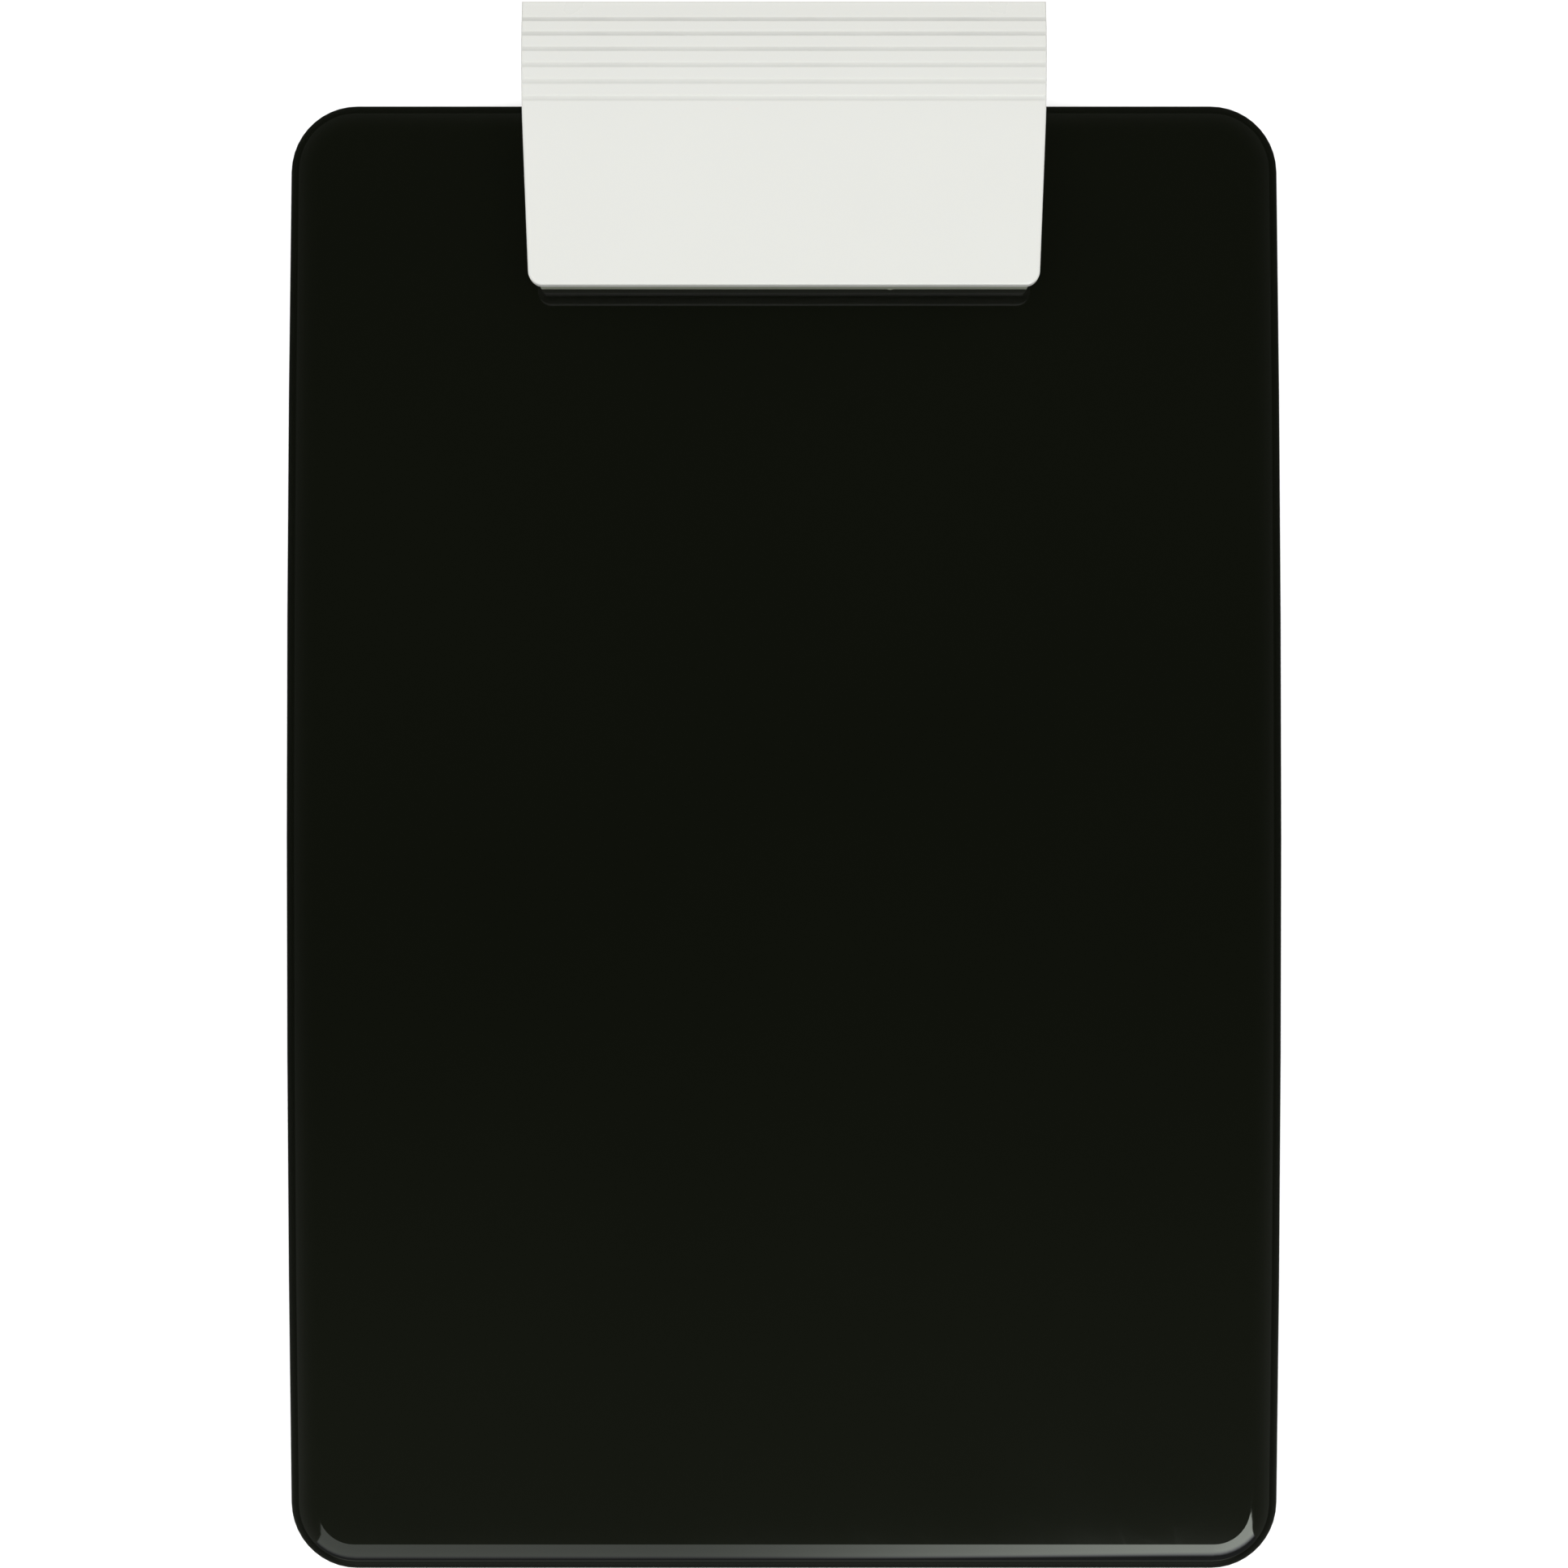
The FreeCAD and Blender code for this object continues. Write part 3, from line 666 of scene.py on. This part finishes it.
def rod_steel(looks):
    """Drawn steel: long fine lines along the rod, and dull patches of old oil."""
    finish = Finish("rod_drawn_steel")
    drawn = finish.clouds(1.0, 4.0, finish.stretch(finish.place, (30.0, 9000.0, 9000.0)))
    oil = finish.ramp(finish.clouds(0.007, 5.0), 0.45, 0.70)
    bright = finish.mix(drawn, scaled(looks.rod_colour, 0.85), scaled(looks.rod_colour, 1.12))
    oiled = (0.33, 0.29, 0.24)
    finish.shade(Base_Color=finish.mix(finish.times(oil, 0.4), bright, oiled))
    finish.shade(Metallic=1.0)
    rough = finish.ramp(drawn, 0.3, 0.7, 0.20, 0.34)
    finish.shade(Roughness=finish.plus(rough, finish.times(oil, 0.12)))
    finish.shade(Normal=finish.relief(drawn, 0.000004))
    return finish.material


def cap_zinc(looks):
    """Zinc plate: small crystals of differing tone, and a few dull spots."""
    finish = Finish("cap_zinc_plate")
    crystal = finish.part(finish.cells(0.0006, "Color"), "X")
    spots = finish.ramp(finish.clouds(0.0015, 4.0), 0.58, 0.72)
    tone = finish.mix(crystal, scaled(looks.cap_colour, 0.84), scaled(looks.cap_colour, 1.14))
    dulled = (0.42, 0.42, 0.41)
    finish.shade(Base_Color=finish.mix(finish.times(spots, 0.5), tone, dulled))
    finish.shade(Metallic=1.0)
    finish.shade(Roughness=finish.plus(0.26, finish.times(spots, 0.22)))
    finish.shade(Normal=finish.relief(finish.clouds(0.0007, 3.0), 0.00001))
    return finish.material


def spring_wire(looks):
    """Oil-tempered wire: a brown-grey skin with drawing lines along the wire."""
    finish = Finish("spring_tempered_wire")
    drawn = finish.clouds(1.0, 4.0, finish.stretch(finish.wrap, (160.0, 26.0, 1.0)))
    skin = finish.clouds(0.0035, 5.0)
    dark = finish.mix(skin, scaled(looks.spring_colour, 0.70), scaled(looks.spring_colour, 1.25))
    rubbed = (0.50, 0.48, 0.46)
    finish.shade(Base_Color=finish.mix(finish.ramp(drawn, 0.55, 0.80), dark, rubbed))
    finish.shade(Metallic=1.0)
    finish.shade(Roughness=finish.ramp(skin, 0.3, 0.7, 0.28, 0.44))
    finish.shade(Normal=finish.relief(drawn, 0.000006))
    return finish.material


def fastener_metal(name, colour, smooth, coarse):
    """Aluminium turned or tumbled: rings round the nearest of the four rivets' axes.

    The rivets stand in a rectangle, so the distance from the nearest axis comes from folding
    X and Y about the rectangle's middle.
    """
    finish = Finish(name)
    middle = (RIVET_BOX[0] + RIVET_BOX[1]) / 2
    head_radius = 0.0037
    ring_spacing = 0.00022
    offsets = []
    for letter, centre, half in (
        ("X", middle.x, (RIVET_BOX[1].x - RIVET_BOX[0].x) / 2 - head_radius),
        ("Y", middle.y, (RIVET_BOX[1].y - RIVET_BOX[0].y) / 2 - head_radius),
    ):
        from_middle = finish.calculate("SUBTRACT", finish.part(finish.place, letter), centre)
        folded = finish.calculate("ABSOLUTE", from_middle)
        offset = finish.calculate("SUBTRACT", folded, half)
        offsets.append(finish.times(offset, offset))
    radius = finish.calculate("SQRT", finish.plus(*offsets))
    rings = finish.calculate("SINE", finish.times(radius, math.tau / ring_spacing))
    dents = finish.clouds(0.0009, 4.0)
    finish.shade(Base_Color=finish.mix(dents, scaled(colour, 0.86), scaled(colour, 1.10)))
    finish.shade(Metallic=1.0)
    finish.shade(Roughness=finish.ramp(dents, 0.3, 0.7, smooth, coarse))
    turned = finish.relief(finish.ramp(rings, -1.0, 1.0), 0.0000015)
    finish.shade(Normal=finish.relief(dents, 0.000012, turned))
    return finish.material


# Stage


def floor_surface(looks):
    """A plain pale floor that glows a little, as a lit table does."""
    finish = Finish("stage_floor")
    finish.shade(Base_Color=looks.floor_colour, Roughness=0.9, Specular_IOR_Level=0.0)
    finish.shade(Emission_Color=(1.0, 1.0, 1.0), Emission_Strength=looks.floor_glow)
    return finish.material


def window_surface(looks):
    """A soft window: brighter on its right, and fading to a bluish dusk at its foot."""
    finish = Finish("stage_window")
    side = finish.part(finish.place, "X")
    height = finish.part(finish.place, "Z")
    across = finish.ramp(side, -0.06, 0.26, looks.window_left, looks.window_right)
    lifted = finish.calculate("SUBTRACT", height, finish.ramp(side, 0.02, 0.22, 0.0, 0.12))
    foot = finish.ramp(lifted, looks.dusk_top, looks.dusk_foot)
    fading = finish.times(across, finish.calculate("SUBTRACT", 1.0, foot))
    finish.shade(Base_Color=(0.0, 0.0, 0.0), Specular_IOR_Level=0.0)
    finish.shade(Emission_Color=finish.mix(foot, (0.93, 1.0, 0.90), (0.90, 0.92, 1.0)))
    finish.shade(Emission_Strength=finish.plus(fading, looks.dusk))
    return finish.material


def stage_sheet(name, corners, material):
    """A flat sheet between four corners, as part of the stage."""
    sheet = mesh_piece(name, corners, [[0, 1, 2, 3]], material, smooth=False)
    return sheet


def studio_room(looks):
    """A soft dome that lights matt faces evenly, and the room that polished faces mirror.

    The room is dark below the horizon, brightest just above it and dimmer overhead, and it
    grows lighter towards the window in two steps.
    """
    world = bpy.data.worlds.new("studio_room")
    world.use_nodes = True
    tree = world.node_tree
    tree.nodes.clear()
    where = tree.nodes.new("ShaderNodeTexCoord")
    split = tree.nodes.new("ShaderNodeSeparateXYZ")
    tree.links.new(where.outputs["Generated"], split.inputs[0])
    levels = tree.nodes.new("ShaderNodeValToRGB")
    steps = levels.color_ramp
    below, overhead = (0.022, 0.023, 0.020, 1.0), (0.046, 0.052, 0.036, 1.0)
    horizon, wall = (0.092, 0.097, 0.084, 1.0), (0.085, 0.09, 0.075, 1.0)
    steps.elements[0].color = below
    steps.elements[1].color = overhead
    steps.elements.new(0.02).color = horizon
    steps.elements.new(0.35).color = wall
    tree.links.new(split.outputs["Z"], levels.inputs["Fac"])
    mirrored = tree.nodes.new("ShaderNodeBackground")
    tree.links.new(levels.outputs["Color"], mirrored.inputs["Color"])
    product = tree.nodes.new("ShaderNodeMath")
    product.operation = "MULTIPLY"
    window_steps = ((-0.03, -0.30, 2.5), (-0.85, -0.98, 2.6))
    for index, (start, end, gain) in enumerate(window_steps):
        nearer = tree.nodes.new("ShaderNodeMapRange")
        nearer.interpolation_type = "SMOOTHSTEP"
        tree.links.new(split.outputs["Y"], nearer.inputs["Value"])
        nearer.inputs["From Min"].default_value = start
        nearer.inputs["From Max"].default_value = end
        nearer.inputs["To Min"].default_value = 1.0
        nearer.inputs["To Max"].default_value = gain
        tree.links.new(nearer.outputs["Result"], product.inputs[index])
    tree.links.new(product.outputs[0], mirrored.inputs["Strength"])
    dome = tree.nodes.new("ShaderNodeBackground")
    dome.inputs["Color"].default_value = (1.0, 1.0, 1.0, 1.0)
    dome.inputs["Strength"].default_value = looks.dome
    ray = tree.nodes.new("ShaderNodeLightPath")
    either = tree.nodes.new("ShaderNodeMixShader")
    tree.links.new(ray.outputs["Is Glossy Ray"], either.inputs["Fac"])
    tree.links.new(dome.outputs[0], either.inputs[1])
    tree.links.new(mirrored.outputs[0], either.inputs[2])
    output = tree.nodes.new("ShaderNodeOutputWorld")
    tree.links.new(either.outputs[0], output.inputs["Surface"])
    bpy.context.scene.world = world


def ceiling_light(looks):
    """A wide soft light overhead that polished faces don't mirror."""
    side = 1.8
    height, behind_middle = 1.6, 0.15
    data = bpy.data.lights.new("ceiling", "AREA")
    data.shape = "SQUARE"
    data.size = side
    data.energy = looks.ceiling * math.pi * side**2
    light = bpy.data.objects.new("ceiling", data)
    light.location = (0.0, -behind_middle, height)
    light.visible_glossy = False
    light.visible_camera = False
    bpy.context.scene.collection.objects.link(light)


def main_camera(looks):
    """A camera that looks straight down at the board."""
    data = bpy.data.cameras.new("camera")
    data.lens = looks.lens
    data.sensor_width = 36.0
    camera = bpy.data.objects.new("camera", data)
    camera.location = (0.0, looks.camera_shift, BOARD_BOX[1].z + looks.camera_height)
    bpy.context.scene.collection.objects.link(camera)
    bpy.context.scene.camera = camera


# Moulding marks


def pin_profile(radius, witness):
    """Profile of an ejector pin's mark: a flat dish inside a low raised ring."""
    ring = witness * 1.6
    return (
        (0.0, witness * 0.25),
        (radius - 2 * ring, witness * 0.25),
        (radius - 1.4 * ring, witness * 0.8),
        (radius - ring, witness),
        (radius - 0.5 * ring, witness * 0.85),
        (radius, 0.0),
        (radius, -witness),
        (0.0, -witness),
    )


def gate_profile(radius, height):
    """Profile of a sprue that was snapped off: a short stub with a ragged crown."""
    return (
        (0.0, height * 0.72),
        (radius * 0.30, height * 0.95),
        (radius * 0.55, height * 0.78),
        (radius * 0.72, height),
        (radius * 0.90, height * 0.80),
        (radius, height * 0.35),
        (radius * 1.25, 0.0),
        (radius * 1.25, -height * 0.5),
        (0.0, -height * 0.5),
    )


def surface_under(node, places):
    """Where lines going straight up from under each place first meet a node, and which way
    the surface faces there."""
    piece = frame["nodes"][node]
    tree = BVHTree.FromObject(piece, bpy.context.evaluated_depsgraph_get())
    start_height, upwards = -0.01, Vector((0, 0, 1))
    found = []
    for across, along in places:
        start = Vector((across, along, start_height))
        point, normal, _, _ = tree.ray_cast(start, upwards)
        if point is None:
            raise RuntimeError(f"nothing of {node} above {across:.3f}, {along:.3f}")
        found.append((tuple(point), tuple(normal)))
    return zip(*found)


def board_marks(sizes, material):
    """Rings of the board's ejector pins between the ribs of its back, and its sprue."""
    columns, rows = (-0.080, 0.0, 0.080), (-0.150, -0.090, -0.030, 0.030, 0.090)
    places = [(across, along) for across in columns for along in rows]
    points, normals = surface_under("board", places)
    profile = pin_profile(sizes.board_pin, sizes.witness)
    vertices, faces = turned_marks(list(points), list(normals), profile)
    rings = mesh_piece("board_ejector_marks", vertices, faces, material, "board")
    sprue_place = (0.0, -0.008)
    points, normals = surface_under("board", [sprue_place])
    profile = gate_profile(sizes.gate_radius, sizes.gate_height)
    vertices, faces = turned_marks(list(points), list(normals), profile)
    sprue = mesh_piece("board_sprue_mark", vertices, faces, material, "board")


def lever_marks(sizes, material):
    """Rings of the lever's ejector pins on the underside of its plate and handle."""
    columns, rows = (-0.048, -0.014, 0.014, 0.048), (0.126, 0.164)
    places = [(across, along) for across in columns for along in rows]
    points, normals = surface_under("clip_lever", places)
    profile = pin_profile(sizes.lever_pin, sizes.witness)
    vertices, faces = turned_marks(list(points), list(normals), profile)
    rings = mesh_piece("lever_ejector_marks", vertices, faces, material, "lever")


def strip_flash(sizes, material):
    """A speck of flash on the jaw strip's lower front edge.

    Its surface is an ellipsoid: a latitude and longitude grid with a half width for each axis.
    """
    half = np.array((0.0009, 0.0004, 0.0003))
    centre = np.array((sizes.flash_place, GRIP_BOX[0].y + 0.0002, GRIP_BOX[0].z + 0.0005))
    latitude = np.linspace(-math.pi / 2, math.pi / 2, FLASH_ROWS + 2)[1:-1, None]
    longitude = np.linspace(0.0, math.tau, FLASH_COLUMNS, endpoint=False)[None, :]
    flat = np.broadcast_to(np.sin(latitude), (FLASH_ROWS, FLASH_COLUMNS))
    grid = np.stack(
        (np.cos(latitude) * np.cos(longitude), np.cos(latitude) * np.sin(longitude), flat), axis=-1
    )
    poles = np.array(((0.0, 0.0, -1.0), (0.0, 0.0, 1.0)))
    unit = np.concatenate((poles[:1], grid.reshape(-1, 3), poles[1:]))
    faces = ring_faces(FLASH_ROWS, FLASH_COLUMNS)
    speck = mesh_piece("jaw_strip_flash", centre + unit * half, faces, material, "lever")


# Operators


def paint(node, material):
    """Puts a material on every slot of a CAD node's object."""
    piece = frame["nodes"][node]
    if not piece.material_slots:
        raise RuntimeError(f"{node} has no material slot")
    for slot in piece.material_slots:
        slot.material = material


class CLIPBOARD_OT_board(bpy.types.Operator):
    """Gives the board its polished black plastic"""

    bl_idname = "clipboard.board"
    bl_label = "Board"

    def execute(self, context):
        paint("board", board_plastic(context.scene.clipboard_board))
        return {"FINISHED"}


class CLIPBOARD_OT_clip(bpy.types.Operator):
    """Gives the lever, the hinge base and the jaw's strip their white plastics and rubber"""

    bl_idname = "clipboard.clip"
    bl_label = "Clip"

    def execute(self, context):
        looks = context.scene.clipboard_clip
        paint("clip_lever", clip_plastic(looks))
        paint("hinge_base", hinge_plastic(looks))
        paint("jaw_grip", grip_rubber(looks))
        return {"FINISHED"}


class CLIPBOARD_OT_fittings(bpy.types.Operator):
    """Gives the rod, its caps and sleeves, the rivets and the washers their metals and nylon"""

    bl_idname = "clipboard.fittings"
    bl_label = "Fittings"

    def execute(self, context):
        looks = context.scene.clipboard_fittings
        paint("pivot_rod", rod_steel(looks))
        zinc = cap_zinc(looks)
        nylon = sleeve_nylon(looks)
        for side in SIDES:
            paint(f"rod_cap_{side}", zinc)
            paint(f"spring_sleeve_{side}", nylon)
        paint("rivets", fastener_metal("rivet_aluminium", looks.rivet_colour, 0.18, 0.30))
        paint("rivet_washers", fastener_metal("washer_aluminium", looks.washer_colour, 0.32, 0.50))
        return {"FINISHED"}


class CLIPBOARD_OT_springs(bpy.types.Operator):
    """Winds the two torsion springs in place of the imported ones"""

    bl_idname = "clipboard.springs"
    bl_label = "Springs"

    def execute(self, context):
        sizes = context.scene.clipboard_springs
        material = spring_wire(context.scene.clipboard_fittings)
        for side in SIDES:
            low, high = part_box(f"spring_{side}")
            middle = (low.x + high.x) / 2
            path = spring_path(sizes, middle)
            vertices, travelled = wire_skin(path, sizes)
            faces = ring_faces(len(path), sizes.ring_sides)
            spring = mesh_piece(f"torsion_spring_{side}", vertices, faces, material)
            wrap_wire(spring.data, travelled, sizes.ring_sides)
            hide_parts(f"spring_{side}")
            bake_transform(spring)
        return {"FINISHED"}


class CLIPBOARD_OT_marks(bpy.types.Operator):
    """Adds the marks that the moulds leave: ejector rings, a broken sprue and a speck of flash"""

    bl_idname = "clipboard.marks"
    bl_label = "Moulding marks"

    def execute(self, context):
        sizes = context.scene.clipboard_marks
        black = frame["nodes"]["board"].material_slots[0].material
        white = frame["nodes"]["clip_lever"].material_slots[0].material
        rubber = frame["nodes"]["jaw_grip"].material_slots[0].material
        board_marks(sizes, black)
        lever_marks(sizes, white)
        strip_flash(sizes, rubber)
        return {"FINISHED"}


class CLIPBOARD_OT_stage(bpy.types.Operator):
    """Sets the pale floor, the soft lights and the camera"""

    bl_idname = "clipboard.stage"
    bl_label = "Stage"

    def execute(self, context):
        looks = context.scene.clipboard_stage
        context.scene.view_settings.view_transform = "Standard"
        reach, level = 4.0, -0.0002
        signs = ((-1, -1), (1, -1), (1, 1), (-1, 1))
        corners = [(across * reach, along * reach, level) for across, along in signs]
        floor = stage_sheet("floor", corners, floor_surface(looks))
        floor.visible_glossy = False
        head_place, head_height = -0.350, 0.600
        sill_place, sill_height = -1.10, 0.082
        head = [(across, head_place, head_height) for across in looks.window_head]
        sill = [(across, sill_place, sill_height) for across in looks.window_sill]
        window = stage_sheet("window", head + sill[::-1], window_surface(looks))
        window.visible_camera = False
        window.visible_diffuse = False
        ceiling_light(looks)
        studio_room(looks)
        main_camera(looks)
        return {"FINISHED"}


class CLIPBOARD_PT_panel(bpy.types.Panel):
    """Lists the clipboard's steps and their settings"""

    bl_idname = "CLIPBOARD_PT_panel"
    bl_label = "Clipboard"
    bl_space_type = "VIEW_3D"
    bl_region_type = "UI"
    bl_category = "Clipboard"

    def draw(self, context):
        for step, group in STEPS.items():
            column = self.layout.column()
            column.operator(step.bl_idname)
            settings = getattr(context.scene, group)
            for name in settings.__annotations__:
                column.prop(settings, name)


SETTINGS = {
    "clipboard_board": BoardLooks,
    "clipboard_clip": ClipLooks,
    "clipboard_fittings": FittingLooks,
    "clipboard_springs": SpringSizes,
    "clipboard_marks": MarkSizes,
    "clipboard_stage": StageLooks,
}
STEPS = {
    CLIPBOARD_OT_board: "clipboard_board",
    CLIPBOARD_OT_clip: "clipboard_clip",
    CLIPBOARD_OT_fittings: "clipboard_fittings",
    CLIPBOARD_OT_springs: "clipboard_springs",
    CLIPBOARD_OT_marks: "clipboard_marks",
    CLIPBOARD_OT_stage: "clipboard_stage",
}


def register():
    """Adds the settings, the operators and the panel."""
    for name, group in SETTINGS.items():
        bpy.utils.register_class(group)
        setattr(bpy.types.Scene, name, PointerProperty(type=group))
    for step in STEPS:
        bpy.utils.register_class(step)
    bpy.utils.register_class(CLIPBOARD_PT_panel)


def unregister():
    """Takes away what register adds."""
    bpy.utils.unregister_class(CLIPBOARD_PT_panel)
    for step in reversed(STEPS):
        bpy.utils.unregister_class(step)
    for name, group in reversed(SETTINGS.items()):
        delattr(bpy.types.Scene, name)
        bpy.utils.unregister_class(group)


def main():
    """Makes everything in order."""
    register()
    bpy.ops.clipboard.board()
    bpy.ops.clipboard.clip()
    bpy.ops.clipboard.fittings()
    bpy.ops.clipboard.springs()
    bpy.ops.clipboard.marks()
    bpy.ops.clipboard.stage()


if __name__ == "__main__":
    main()
